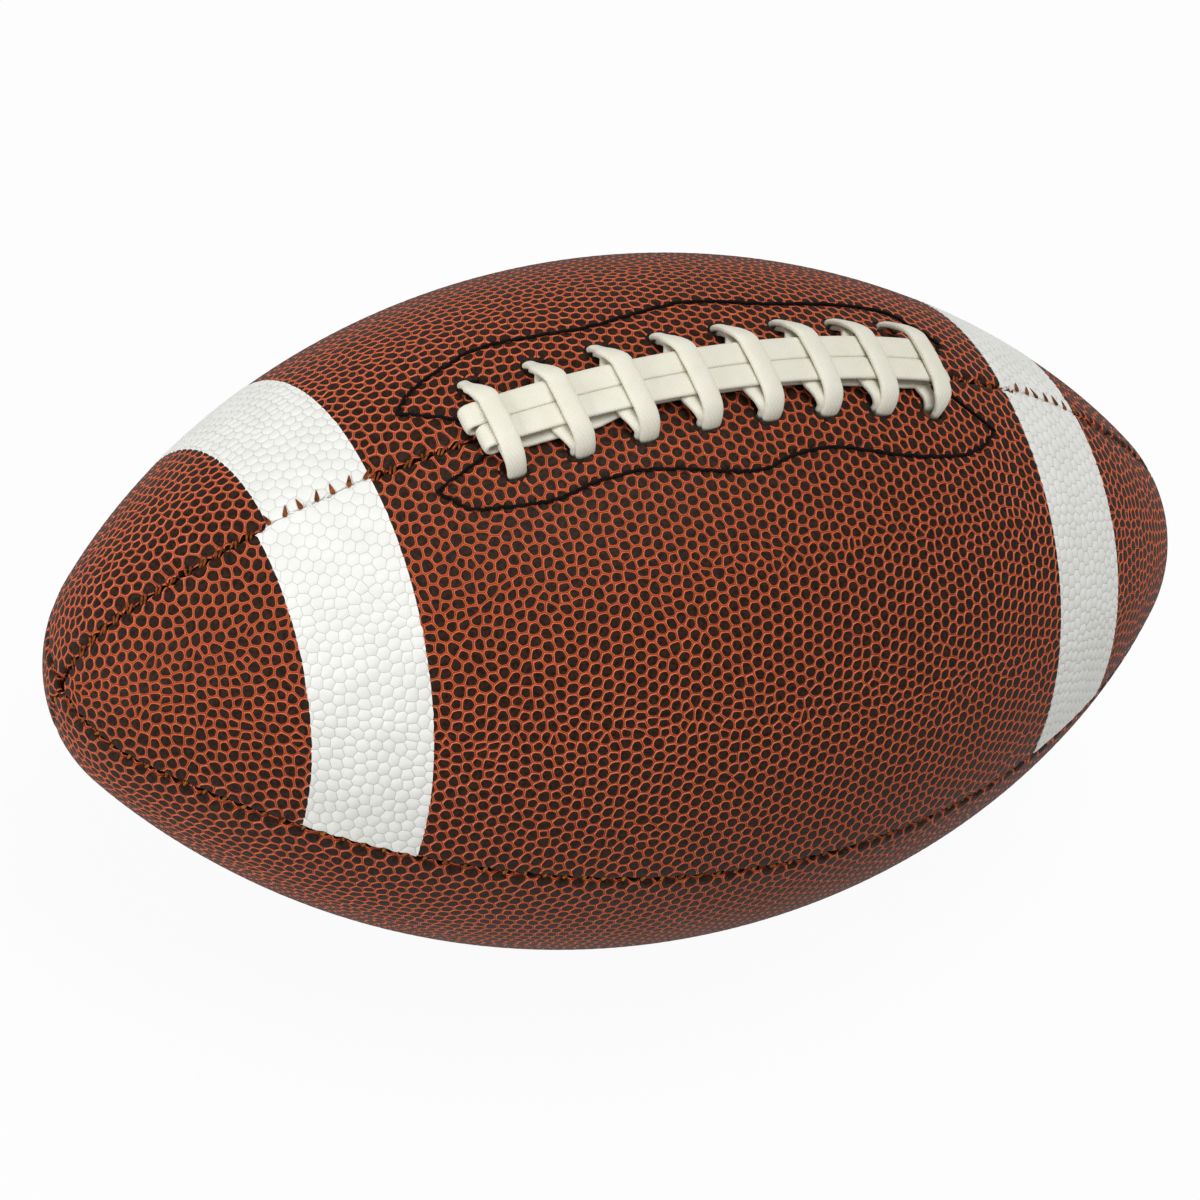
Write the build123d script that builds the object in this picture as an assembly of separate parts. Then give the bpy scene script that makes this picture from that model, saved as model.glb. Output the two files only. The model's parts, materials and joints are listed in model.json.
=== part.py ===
from build123d import *
from functools import cache
from math import atan2, cos, degrees, hypot, radians, sin
import os

# American football as the pieces it is sewn, laced and inflated from.
# Millimetres. Origin at the centre of the ball, X along the ball, +Z up through the laced seam,
# front towards -Y. A panel's side is +1 (rear, +Y) or -1 (front, -Y), and its level is
# +1 (a lacing panel, above) or -1 (a lower panel, below).

# Ball: a belly arc between two nose arcs, turned about X
BALL_LENGTH = 258.0
BALL_DIAMETER = 141.6
NOSE_RADIUS = 29.4

# Layers, from the outside in
COVER = 1.6
LINING = 0.7
LINING_CLEARANCE = 0.2
FACING = 1.2
TONGUE = 1.0
BLADDER_WALL = 0.7
SLACK = 0.3

# Seams: panel edges rolled over and turned in, with a thread in the groove
SEAM_GAP = 0.3
SEAM_ROLL = 1.2
SEAM_FLANGE = 1.4
SEAM_DEPTH = 6.0
THREAD_DIAMETER = 0.7
THREAD_TIP_CLEARANCE = 0.6
TIP_DIMPLE_DIAMETER = 5.2
TIP_DIMPLE_DEPTH = 2.6

# White end stripes: a film on the lacing panels, from seam to seam
STRIPE_TIP_DISTANCE = 34.8
STRIPE_WIDTH = 21.6
STRIPE_FILM = 0.3

# Lacing: pairs of holes along the slit in the top seam, a little left of the middle, and one flat lace
LACE_PAIRS = 8
LACE_PITCH = 13.9
LACE_SHIFT = -1.9
LACE_WIDTH = 5.5
LACE_THICK = 1.2
LACE_GAP = 0.45
LACE_REACH = 9.0
LACE_BEND = 1.5
LACE_SEAT = 0.12
STRAP_CROWN = 0.3
STRAP_SHOULDER = 2.2
BAR_SHOULDER = 1.1
SHOULDER_BEND = 1.8
CROWN_BEND = 20.0
MOUTH_BEND = 3.0
LACE_MOUTH = 0.4
LACE_FOOT = 0.5
LACE_TAIL = 2.5
FOLD_ROOM = 0.2
RUN_OVERHANG = 2.0
RUN_CORNER = 3.5
CROSSING_ALONG = 0.8
CROSSING_OUT = 0.6
HOLE_CLEARANCE = 0.35
HOLE_CORNER = 1.2
SLIT_MARGIN = 12.5

# Facing: its wavy stitch line, as crests and troughs out from the slit
FACING_CREST = 22.2
FACING_TROUGH = 19.1
FACING_LOBE = 20.4
FACING_TROUGH_X = 22.0
FACING_LOBE_X = 42.0
FACING_POINT = (64.0, 11.0)
FACING_RETURN = (56.0, 4.5)
FACING_HEM = 2.5
FACING_STITCH_WIDTH = 0.9
FACING_STITCH_HEIGHT = 0.4
TONGUE_LENGTH = 122.0
TONGUE_WIDTH = 38.0
TONGUE_CORNER = 12.0

# Valve, on the rear lacing panel
VALVE_ANGLE = 62.0
VALVE_HOLE_RADIUS = 4.3
VALVE_NECK_RADIUS = 4.1
VALVE_BODY_RADIUS = 5.0
VALVE_LENGTH = 16.0
VALVE_FLANGE_RADIUS = 9.0
VALVE_FLANGE_THICK = 1.2
VALVE_RECESS = 0.3
VALVE_VENT_RADIUS = 0.8
VALVE_FLOOR = 1.5
PLUG_RADIUS = 2.6
PLUG_RECESS = 0.4
NEEDLE_RADIUS = 1.1
NEEDLE_DEPTH = 8.0
PATCH_RADIUS = 12.0

# Worked out from the sizes above
HALF_LENGTH = BALL_LENGTH / 2
RADIUS = BALL_DIAMETER / 2
NOSE_CENTRE = HALF_LENGTH - NOSE_RADIUS
BELLY_RADIUS = (NOSE_CENTRE**2 + RADIUS**2 - NOSE_RADIUS**2) / (2 * (RADIUS - NOSE_RADIUS))
BELLY_DROP = BELLY_RADIUS - RADIUS
NOSE_ANGLE = atan2(BELLY_DROP, NOSE_CENTRE)
FAR = BALL_LENGTH
HALF_GAP = SEAM_GAP / 2
FLANGE_EDGE = HALF_GAP + SEAM_FLANGE
LINED = COVER + LINING
FACED = LINED + FACING
THREAD_END = HALF_LENGTH - THREAD_TIP_CLEARANCE

# Lace levels above the cover (centre of the strand): long runs below, bars over them, long runs again, straps
LEVEL_STEP = LACE_THICK + LACE_GAP
LOW_RUN = LACE_SEAT + LACE_THICK / 2
BAR = LOW_RUN + LEVEL_STEP
HIGH_RUN = BAR + LEVEL_STEP
STRAP = HIGH_RUN + LEVEL_STEP
RUN_CENTRE = (LACE_WIDTH + LACE_GAP) / 2
RUN_EDGE = RUN_CENTRE + LACE_WIDTH / 2

# Legs through the holes (out from the slit), and the depths of the strands under the facing
BAR_LEG = LACE_REACH
STRAP_LEG = LACE_REACH + LEVEL_STEP
HOLE_INNER = BAR_LEG - LACE_THICK / 2 - HOLE_CLEARANCE
HOLE_OUTER = STRAP_LEG + LACE_THICK / 2 + HOLE_CLEARANCE
HOLE_DROP = HOLE_OUTER**2 / (2 * (RADIUS - FACED))
BAR_DEPTH = FACED + HOLE_DROP + SLACK + LACE_THICK / 2
STRAP_DEPTH = BAR_DEPTH + LEVEL_STEP
TONGUE_DEPTH = STRAP_DEPTH + LACE_THICK / 2 + SLACK
POCKET_DEPTH = TONGUE_DEPTH + TONGUE + SLACK
LACED_HALF = (LACE_PAIRS - 1) * LACE_PITCH / 2
SLIT_HALF = LACED_HALF + SLIT_MARGIN
FOLD_START = LACED_HALF + LACE_WIDTH / 2 + FOLD_ROOM
FOLD_RADIUS = (HIGH_RUN - LOW_RUN) / 2
LACED_END = FOLD_START + FOLD_RADIUS + LACE_THICK


def half_section(inset):
    """Half of the ball's lengthwise section, drawn in by inset, on X and the radius."""
    nose = NOSE_RADIUS - inset
    join = (NOSE_CENTRE + nose * cos(NOSE_ANGLE), nose * sin(NOSE_ANGLE))
    nose_middle = (NOSE_CENTRE + nose * cos(NOSE_ANGLE / 2), nose * sin(NOSE_ANGLE / 2))
    tip = (NOSE_CENTRE + nose, 0)
    belly = ThreePointArc((-join[0], join[1]), (0, RADIUS - inset), join)
    right_nose = ThreePointArc(join, nose_middle, tip)
    axis = Line(tip, (-tip[0], 0))
    left_nose = ThreePointArc((-tip[0], 0), (-nose_middle[0], nose_middle[1]), (-join[0], join[1]))
    return make_face([belly, right_nose, axis, left_nose])


@cache
def ball(inset):
    """The whole ball as a solid, drawn in by inset."""
    return revolve(Plane.XZ * half_section(inset), Axis.X)


def layer(outer, inner):
    return ball(outer) - ball(inner)


def quarter(side, level, clearance):
    """The quarter of space that a panel lies in, kept clear of its two seam planes."""
    middle = clearance + FAR / 2
    return Pos(0, side * middle, level * middle) * Box(2 * FAR, FAR, FAR)


def upright(outline):
    """A plan outline, drawn about the middle of the lacing, as a tall column from the long axis up."""
    return Pos(LACE_SHIFT, 0, 0) * extrude(outline, FAR)


def lace_frame(pair):
    """The plane that lies on the cover at a pair of lace holes, with its Z straight out of the ball."""
    turn = ((pair - (LACE_PAIRS - 1) / 2) * LACE_PITCH + LACE_SHIFT) / BELLY_RADIUS
    out = Vector(sin(turn), 0, cos(turn))
    origin = out * BELLY_RADIUS - Vector(0, 0, BELLY_DROP)
    return Plane(origin, x_dir=(cos(turn), 0, -sin(turn)), z_dir=out)


FRAMES = [lace_frame(pair) for pair in range(LACE_PAIRS)]
VALVE_OUT = Vector(0, sin(radians(VALVE_ANGLE)), cos(radians(VALVE_ANGLE)))
VALVE_PLANE = Plane(VALVE_OUT * RADIUS, x_dir=(1, 0, 0), z_dir=VALVE_OUT)


def lace_holes(side):
    """The column through the wall at each lace hole of one lacing panel."""
    size = (LACE_WIDTH + 2 * HOLE_CLEARANCE, HOLE_OUTER - HOLE_INNER)
    outline = RectangleRounded(*size, HOLE_CORNER)
    depth = BAR_DEPTH + LACE_THICK
    column = Pos(0, side * (HOLE_INNER + HOLE_OUTER) / 2, -depth) * extrude(outline, 2 * depth)
    return [frame * column for frame in FRAMES]


def valve_column(radius, top, bottom):
    """A round column on the valve's axis, between two depths under the cover."""
    return VALVE_PLANE * Pos(0, 0, -bottom) * extrude(Circle(radius), bottom - top)


def on_outer_seam(edge):
    """Whether an edge runs along a seam plane on the outside of the ball."""
    for share in (0.1, 0.5, 0.9):
        point = edge @ share
        if abs(min(abs(point.Y), abs(point.Z)) - HALF_GAP) > SEAM_GAP / 10:
            return False
        across = hypot(point.Y, point.Z)
        if abs(point.X) > NOSE_CENTRE + NOSE_RADIUS * cos(NOSE_ANGLE):
            reach = hypot(abs(point.X) - NOSE_CENTRE, across) - NOSE_RADIUS
        else:
            reach = hypot(point.X, across + BELLY_DROP) - BELLY_RADIUS
        if abs(reach) > SEAM_GAP / 10:
            return False
    return True


def cover_panel(side, level):
    """A quarter of the cover, with rolled edges turned in along its two seams."""
    dimple = Cylinder(TIP_DIMPLE_DIAMETER / 2, 2 * TIP_DIMPLE_DEPTH, rotation=(0, 90, 0))
    body = ball(0) & quarter(side, level, HALF_GAP)
    body -= ball(COVER) & quarter(side, level, FLANGE_EDGE)
    body -= ball(SEAM_DEPTH)
    body -= [Pos(end * HALF_LENGTH, 0, 0) * dimple for end in (-1, 1)]
    return fillet(body.edges().filter_by(on_outer_seam), SEAM_ROLL)


def lacing_panel(side):
    """An upper panel: no turned-in edge along the slit, and a row of lace holes beside it."""
    slit = upright(Rectangle(2 * SLIT_HALF, 2 * (FLANGE_EDGE + SLACK)))
    panel = cover_panel(side, 1) - (slit & ball(COVER)) - lace_holes(side)
    if side > 0:
        panel -= valve_column(VALVE_HOLE_RADIUS, -COVER, SEAM_DEPTH)
    return panel


def panel_lining(side, level):
    """The fabric bonded to the inside of a panel, up to its turned-in edges."""
    lining = layer(COVER, LINED) & quarter(side, level, FLANGE_EDGE + LINING_CLEARANCE)
    if level > 0:
        lining -= lace_holes(side)
    if level > 0 and side > 0:
        lining -= valve_column(PATCH_RADIUS, 0, SEAM_DEPTH)
    return lining


def end_stripe(side, end):
    """The white film across one end of a lacing panel."""
    middle = end * (HALF_LENGTH - STRIPE_TIP_DISTANCE - STRIPE_WIDTH / 2)
    band = Pos(middle, 0, 0) * Box(STRIPE_WIDTH, FAR, FAR)
    return layer(-STRIPE_FILM, 0) & quarter(side, 1, HALF_GAP + SEAM_ROLL + SLACK) & band


def seam_point(x, depth):
    """A point of the top seam, at a place along X and a depth under the cover."""
    nose = NOSE_RADIUS - depth
    if abs(x) > NOSE_CENTRE + nose * cos(NOSE_ANGLE):
        return (x, 0, (nose**2 - (abs(x) - NOSE_CENTRE) ** 2) ** 0.5)
    return (x, 0, ((BELLY_RADIUS - depth) ** 2 - x**2) ** 0.5 - BELLY_DROP)


def seam_thread(first, last):
    """A thread in the groove of the top seam, between two places along X."""
    pitch_circle = SEAM_ROLL + THREAD_DIAMETER / 2 + SEAM_GAP / 4
    depth = SEAM_ROLL - (pitch_circle**2 - (HALF_GAP + SEAM_ROLL) ** 2) ** 0.5
    join = NOSE_CENTRE + (NOSE_RADIUS - depth) * cos(NOSE_ANGLE)
    stops = [first, *[x for x in (-join, join) if first < x < last], last]
    arcs = []
    for start, end in zip(stops, stops[1:]):
        arcs.append(ThreePointArc(*[seam_point(x, depth) for x in (start, (start + end) / 2, end)]))
    path = Wire(arcs)
    section = Plane(path @ 0, x_dir=(0, 1, 0), z_dir=path % 0) * Circle(THREAD_DIAMETER / 2)
    return sweep(section, path)


def facing_line(hem):
    """The wavy line of a facing from its middle to its point, moved out from the stitch by hem."""
    middle = (0, FACING_CREST)
    slopes = [
        (FACING_TROUGH_X / 2, (FACING_CREST + FACING_TROUGH) / 2),
        (FACING_TROUGH_X, FACING_TROUGH),
        ((FACING_TROUGH_X + FACING_LOBE_X) / 2, (FACING_TROUGH + FACING_LOBE) / 2),
        (FACING_LOBE_X, FACING_LOBE),
        FACING_POINT,
    ]
    start, heading = Vector(middle), Vector(1, 0)
    moved, moved_heading = Vector(0, FACING_CREST + hem), Vector(1, 0)
    line = []
    for target in slopes:
        arc = TangentArc(start, target, tangent=heading)
        start, heading = arc @ 1, arc % 1
        across = Vector(-heading.Y, heading.X)
        line.append(TangentArc(moved, start + across * hem, tangent=moved_heading))
        moved, moved_heading = line[-1] @ 1, line[-1] % 1
    return line


def facing_outline(inner_hem, outer_hem):
    """The plan of a facing or of its stitch: between two hems of the wavy line, or out from the slit."""
    outer = facing_line(outer_hem)
    if inner_hem is None:
        foot = (SLIT_HALF, FLANGE_EDGE + SLACK)
        inner = [Line((0, foot[1]), foot)]
    else:
        inner = facing_line(inner_hem)
    half = [*outer, *inner, Line(inner[0] @ 0, outer[0] @ 0), Line(inner[-1] @ 1, outer[-1] @ 1)]
    plan = make_face(half)
    return plan + mirror(plan, Plane.YZ)


def lace_facing(side):
    """The reinforcement sewn under the lace holes of one lacing panel."""
    outline = facing_outline(None, FACING_HEM)
    if side < 0:
        outline = mirror(outline, Plane.XZ)
    return (layer(LINED, FACED) & upright(outline)) - lace_holes(side)


def facing_return():
    """The plan of the straight stitch from a facing's point back towards the end of the slit."""
    run = Line(FACING_POINT, FACING_RETURN)
    heading = run % 0
    turn = degrees(atan2(heading.Y, heading.X))
    return Pos(run @ 0.5) * Rot(0, 0, turn) * Rectangle(run.length, FACING_STITCH_WIDTH)


def facing_stitch(side):
    """The thread that sews a facing on: the wavy line and its two ends, on the outside of the panel."""
    outline = facing_outline(-FACING_STITCH_WIDTH / 2, FACING_STITCH_WIDTH / 2)
    outline += facing_return()
    outline += mirror(facing_return(), Plane.YZ)
    if side < 0:
        outline = mirror(outline, Plane.XZ)
    return layer(-FACING_STITCH_HEIGHT, 0) & upright(outline)


def flat_section(path, width_along):
    """The lace's section at the start of a path, with its width along the given direction."""
    return Plane(path @ 0, x_dir=width_along, z_dir=path % 0) * Rectangle(LACE_WIDTH, LACE_THICK)


def cross_strand(frame, points, bends):
    """A strand across the lacing at a pair of holes, through points (out from slit, up from cover)."""
    path = frame.location * Plane.YZ.location * FilletPolyline(*points, radius=bends)
    return sweep(flat_section(path, frame.x_dir), path)


def over_strap(pair):
    """The strap that shows: up through the rear hole, over everything, and down through the front hole."""
    foot = STRAP_LEG - LACE_BEND - LACE_FOOT
    rear = [(foot, -STRAP_DEPTH), (STRAP_LEG, -STRAP_DEPTH), (STRAP_LEG, LACE_MOUTH)]
    rear.append((RUN_EDGE + STRAP_SHOULDER, STRAP))
    front = [(-out, up) for out, up in reversed(rear)]
    if pair == LACE_PAIRS - 1:
        rear[0] = (foot - LACE_TAIL, -STRAP_DEPTH)
    bends = [LACE_BEND, MOUTH_BEND, SHOULDER_BEND, CROWN_BEND, SHOULDER_BEND, MOUTH_BEND, LACE_BEND]
    return cross_strand(FRAMES[pair], [*rear, (0, STRAP + STRAP_CROWN), *front], bends)


def under_bar(pair):
    """The bar of the first pass, between the low and the high runs."""
    foot = BAR_LEG - LACE_BEND - LACE_FOOT
    rear = [(foot, -BAR_DEPTH), (BAR_LEG, -BAR_DEPTH), (BAR_LEG, LACE_MOUTH), (RUN_EDGE + BAR_SHOULDER, BAR)]
    front = [(-out, up) for out, up in reversed(rear)]
    bends = [LACE_BEND, MOUTH_BEND, SHOULDER_BEND, SHOULDER_BEND, MOUTH_BEND, LACE_BEND]
    return cross_strand(FRAMES[pair], [*rear, *front], bends)


def run_turn(side, tail):
    """The end of a low run, turned down into the last hole, with its foot or tail under the facing."""
    foot = BAR_LEG - LACE_BEND - LACE_FOOT - tail
    points = [(LACE_GAP / 2, LOW_RUN), (BAR_LEG, LOW_RUN), (BAR_LEG, -BAR_DEPTH), (foot, -BAR_DEPTH)]
    points = [(side * out, up) for out, up in points]
    return cross_strand(FRAMES[-1], points, [LACE_BEND, LACE_BEND])


def over_belly(along, level):
    """A point over the slit: so far along the belly from the lacing's middle, so far out from the cover."""
    turn = (along + LACE_SHIFT) / BELLY_RADIUS
    reach = BELLY_RADIUS + level
    return Vector(reach * sin(turn), 0, reach * cos(turn) - BELLY_DROP)


def long_run(side):
    """A low run, the fold round the first bar, and the high run back over it."""
    fold_middle = (over_belly(-FOLD_START, LOW_RUN) + over_belly(-FOLD_START, HIGH_RUN)) / 2
    back = over_belly(-FOLD_START - FOLD_RADIUS, 0) - over_belly(-FOLD_START, 0)
    fold_end = fold_middle + back.normalized() * FOLD_RADIUS
    low_end = LACED_HALF - LACE_WIDTH / 2 + LACE_FOOT
    high_end = LACED_HALF - LACE_WIDTH / 2 + RUN_OVERHANG
    stops = [over_belly(low_end, LOW_RUN), over_belly(0, LOW_RUN), over_belly(-FOLD_START, LOW_RUN), fold_end]
    stops += [over_belly(-FOLD_START, HIGH_RUN), over_belly(0, HIGH_RUN), over_belly(high_end, HIGH_RUN)]
    path = Wire([ThreePointArc(*stops[first : first + 3]) for first in (0, 2, 4)])
    return Pos(0, side * RUN_CENTRE, 0) * sweep(flat_section(path, (0, 1, 0)), path)


def run_link():
    """The sideways fold that joins the two high runs under the last strap."""
    start = LACED_HALF - LACE_WIDTH / 2 + RUN_OVERHANG
    stops = [over_belly(start + share * LACE_WIDTH, HIGH_RUN) for share in (0, 0.5, 1)]
    path = ThreePointArc(*stops)
    section = Plane(path @ 0, x_dir=(0, 1, 0), z_dir=path % 0) * Rectangle(2 * RUN_EDGE, LACE_THICK)
    plate = sweep(section, path)
    corners = plate.faces().sort_by(Axis.X)[-1].edges().filter_by(Axis.Y, reverse=True)
    return fillet(corners, RUN_CORNER)


def hidden_strand(stops):
    """A strand under the facing, through stops given as frame, along, out from the slit and depth."""
    sections = []
    for frame, along, out, depth in stops:
        middle = frame.from_local_coords((along, out, -depth))
        sections.append(Plane(middle, x_dir=frame.x_dir, z_dir=(0, 1, 0)) * Rectangle(LACE_WIDTH, LACE_THICK))
    return [loft([first, last], ruled=True) for first, last in zip(sections, sections[1:])]


def lace_strands():
    """The lace from end to end, strand by strand."""
    last = LACE_PAIRS - 1
    bar_foot = BAR_LEG - LACE_BEND - LACE_FOOT
    strap_foot = STRAP_LEG - LACE_BEND - LACE_FOOT
    aside = LACE_WIDTH + LACE_GAP
    strands = [run_turn(-1, LACE_TAIL), long_run(-1), run_link(), long_run(1), run_turn(1, 0)]
    for pair in range(last, 0, -1):
        rear = (FRAMES[pair], 0, bar_foot, BAR_DEPTH)
        front = (FRAMES[pair - 1], 0, -bar_foot, BAR_DEPTH)
        strands += [*hidden_strand([rear, front]), under_bar(pair - 1)]
    strands += hidden_strand([
        (FRAMES[0], 0, bar_foot, BAR_DEPTH),
        (FRAMES[0], -aside, 0, BAR_DEPTH),
        (FRAMES[0], -aside * CROSSING_ALONG, -bar_foot * CROSSING_OUT, STRAP_DEPTH),
        (FRAMES[0], 0, -strap_foot, STRAP_DEPTH),
    ])
    for pair in range(last):
        rear = (FRAMES[pair], 0, strap_foot, STRAP_DEPTH)
        front = (FRAMES[pair + 1], 0, -strap_foot, STRAP_DEPTH)
        strands += [over_strap(pair), *hidden_strand([rear, front])]
    return [*strands, over_strap(last)]


def least_gap(strands):
    """The least distance between strands that don't follow one another."""
    spans = [strand.bounding_box() for strand in strands]
    gaps = []
    for one, strand in enumerate(strands):
        for two in range(one + 2, len(strands)):
            apart = max(spans[one].min.X - spans[two].max.X, spans[two].min.X - spans[one].max.X)
            if apart < LACE_PITCH:
                gaps.append(strand.distance_to(strands[two]))
    return min(gaps)


def lace():
    """One unbroken lace, with its least gap to itself."""
    strands = lace_strands()
    print("least gap of the lace to itself", round(least_gap(strands), 3))
    return strands[0].fuse(*strands[1:])


def lace_tongue():
    """The pad between the lacing and the bladder."""
    outline = RectangleRounded(TONGUE_LENGTH, TONGUE_WIDTH, TONGUE_CORNER)
    return layer(TONGUE_DEPTH, TONGUE_DEPTH + TONGUE) & upright(outline)


def bladder_form(inset):
    """The bladder's outside, drawn in by inset: dented by the turned-in edges, the tongue and the lacing."""
    edge = 2 * (FLANGE_EDGE + SLACK + inset)
    ribs = Box(2 * FAR, edge, FAR) + Box(2 * FAR, FAR, edge)
    room = FACING_HEM + SLACK + inset
    facing_plan = Rectangle(2 * (FACING_POINT[0] + room), 2 * (FACING_CREST + room))
    tongue_plan = Rectangle(TONGUE_LENGTH + 2 * (SLACK + inset), TONGUE_WIDTH + 2 * (SLACK + inset))
    form = ball(LINED + SLACK + inset)
    form -= ribs - ball(SEAM_DEPTH + SLACK + inset)
    form -= upright(facing_plan) - ball(FACED + SLACK + inset)
    form -= upright(tongue_plan) - ball(POCKET_DEPTH + inset)
    return form


def bladder():
    wall = bladder_form(0) - bladder_form(BLADDER_WALL)
    return wall - valve_column(VALVE_NECK_RADIUS, 0, VALVE_LENGTH)


def valve_housing():
    """The rubber stem bonded inside the bladder, with its neck out through the cover."""
    seat = LINED + SLACK + BLADDER_WALL
    flange = layer(seat, seat + VALVE_FLANGE_THICK) & valve_column(VALVE_FLANGE_RADIUS, 0, VALVE_LENGTH)
    stem = valve_column(VALVE_NECK_RADIUS, VALVE_RECESS, seat + VALVE_FLANGE_THICK)
    stem += valve_column(VALVE_BODY_RADIUS, seat + VALVE_FLANGE_THICK / 2, VALVE_LENGTH)
    socket = valve_column(PLUG_RADIUS, 0, VALVE_LENGTH - VALVE_FLOOR)
    return stem + flange - socket - valve_column(VALVE_VENT_RADIUS, 0, VALVE_LENGTH + VALVE_FLOOR)


def valve_plug():
    """The soft plug that closes on itself, with the guide for the inflating needle."""
    plug = valve_column(PLUG_RADIUS, PLUG_RECESS, VALVE_LENGTH - VALVE_FLOOR)
    return plug - valve_column(NEEDLE_RADIUS, 0, PLUG_RECESS + NEEDLE_DEPTH)


def valve_patch():
    """The ring that strengthens the cover round the valve, let into the lining."""
    ring = valve_column(PATCH_RADIUS - LINING_CLEARANCE, 0, SEAM_DEPTH)
    ring -= valve_column(VALVE_HOLE_RADIUS, 0, SEAM_DEPTH)
    return layer(COVER, LINED) & ring


PARTS = {
    "lacing_panel_front": lacing_panel(-1),
    "lacing_panel_rear": lacing_panel(1),
    "lower_panel_front": cover_panel(-1, -1),
    "lower_panel_rear": cover_panel(1, -1),
    "lining_lacing_front": panel_lining(-1, 1),
    "lining_lacing_rear": panel_lining(1, 1),
    "lining_lower_front": panel_lining(-1, -1),
    "lining_lower_rear": panel_lining(1, -1),
    "stripe_front_left": end_stripe(-1, -1),
    "stripe_front_right": end_stripe(-1, 1),
    "stripe_rear_left": end_stripe(1, -1),
    "stripe_rear_right": end_stripe(1, 1),
    "lace_facing_front": lace_facing(-1),
    "lace_facing_rear": lace_facing(1),
    "facing_stitch_front": facing_stitch(-1),
    "facing_stitch_rear": facing_stitch(1),
    "seam_thread_front": Rot(90, 0, 0) * seam_thread(-THREAD_END, THREAD_END),
    "seam_thread_rear": Rot(-90, 0, 0) * seam_thread(-THREAD_END, THREAD_END),
    "seam_thread_bottom": Rot(180, 0, 0) * seam_thread(-THREAD_END, THREAD_END),
    "seam_thread_top_left": seam_thread(-THREAD_END, LACE_SHIFT - LACED_END),
    "seam_thread_top_right": seam_thread(LACE_SHIFT + LACED_END, THREAD_END),
    "lace": lace(),
    "lace_tongue": lace_tongue(),
    "bladder": bladder(),
    "valve_housing": valve_housing(),
    "valve_plug": valve_plug(),
    "valve_patch": valve_patch(),
}

os.makedirs("parts", exist_ok=True)
for name, solid in PARTS.items():
    export_step(solid, f"parts/{name}.step")
    print(name, len(solid.solids()), round(solid.volume, 1))
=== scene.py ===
import json
from math import atan2, cos, pi, radians, sin

import bpy
import numpy as np
from mathutils import Matrix, Vector
from mathutils.geometry import delaunay_2d_cdt

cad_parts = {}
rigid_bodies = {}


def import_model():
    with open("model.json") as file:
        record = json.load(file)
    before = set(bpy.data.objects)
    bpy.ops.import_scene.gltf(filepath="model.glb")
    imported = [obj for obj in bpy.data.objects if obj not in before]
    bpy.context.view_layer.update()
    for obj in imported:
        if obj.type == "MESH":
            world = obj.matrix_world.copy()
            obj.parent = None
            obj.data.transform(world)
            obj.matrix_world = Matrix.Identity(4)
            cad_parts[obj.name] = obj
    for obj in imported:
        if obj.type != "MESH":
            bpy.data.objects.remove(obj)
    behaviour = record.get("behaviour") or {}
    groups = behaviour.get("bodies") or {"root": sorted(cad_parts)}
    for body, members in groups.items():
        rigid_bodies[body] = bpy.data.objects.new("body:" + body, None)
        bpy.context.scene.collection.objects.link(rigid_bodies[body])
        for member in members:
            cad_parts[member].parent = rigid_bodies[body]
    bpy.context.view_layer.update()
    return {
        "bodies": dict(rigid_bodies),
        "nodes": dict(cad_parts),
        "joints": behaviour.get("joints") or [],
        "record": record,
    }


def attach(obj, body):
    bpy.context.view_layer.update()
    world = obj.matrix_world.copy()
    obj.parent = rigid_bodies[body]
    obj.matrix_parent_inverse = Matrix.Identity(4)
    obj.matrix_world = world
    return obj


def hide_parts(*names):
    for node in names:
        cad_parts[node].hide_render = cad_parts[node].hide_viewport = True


# A laced football: a pebbled cover of four panels, white end stripes, flat ivory lacing and sewn seams.
# Metres, in the CAD frame: X along the ball, +Z up through the laced seam, front towards -Y.
# A place on the ball is its distance along the lengthwise outline from the belly, and its angle round X
# from the top towards the rear.

# Ball
HALF_LENGTH = 0.128
RADIUS = 0.0708
NOSE_RADIUS = 0.03175
NOSE_CENTRE = HALF_LENGTH - NOSE_RADIUS
BELLY_RADIUS = (NOSE_CENTRE**2 + RADIUS**2 - NOSE_RADIUS**2) / (2 * (RADIUS - NOSE_RADIUS))
BELLY_DROP = BELLY_RADIUS - RADIUS
NOSE_ANGLE = atan2(BELLY_DROP, NOSE_CENTRE)
BELLY_REACH = BELLY_RADIUS * (pi / 2 - NOSE_ANGLE)
TIP_REACH = BELLY_REACH + NOSE_RADIUS * NOSE_ANGLE
HALF_PANEL = pi / 4

# The left end of the sewn ball hangs a little towards its lower front
TIP_DROOP = (0.0, -0.0008, -0.0006)
DROOP_START = 0.085

# Pebbles: flat dark tops with rounded corners, on walls that slope down to the valleys
PEBBLE_PITCH = 0.00266
PEBBLE_JITTER = 0.2
ROW_JITTER = 0.1
ROW_SHARE = 0.866
PEBBLE_WALL = 0.00027
PEBBLE_RISE = 0.0003
PEBBLE_CROWN = 0.00003
PEBBLE_VALLEY = -PEBBLE_RISE - PEBBLE_CROWN
CORNER_SKEW = 0.5
CORNER_LIMIT = 0.3
TOP_CORNER_PULL = 0.18
RELAX_ROUNDS = 8
RELAX_ROOM = 1.25
RELAX_RATE = 0.3
MAP_STEPS = 4001
COVER_SEED = {"lacing": 11, "lower": 21}
FACET_ANGLE = radians(32)
SOFT_ANGLE = radians(70)

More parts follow.
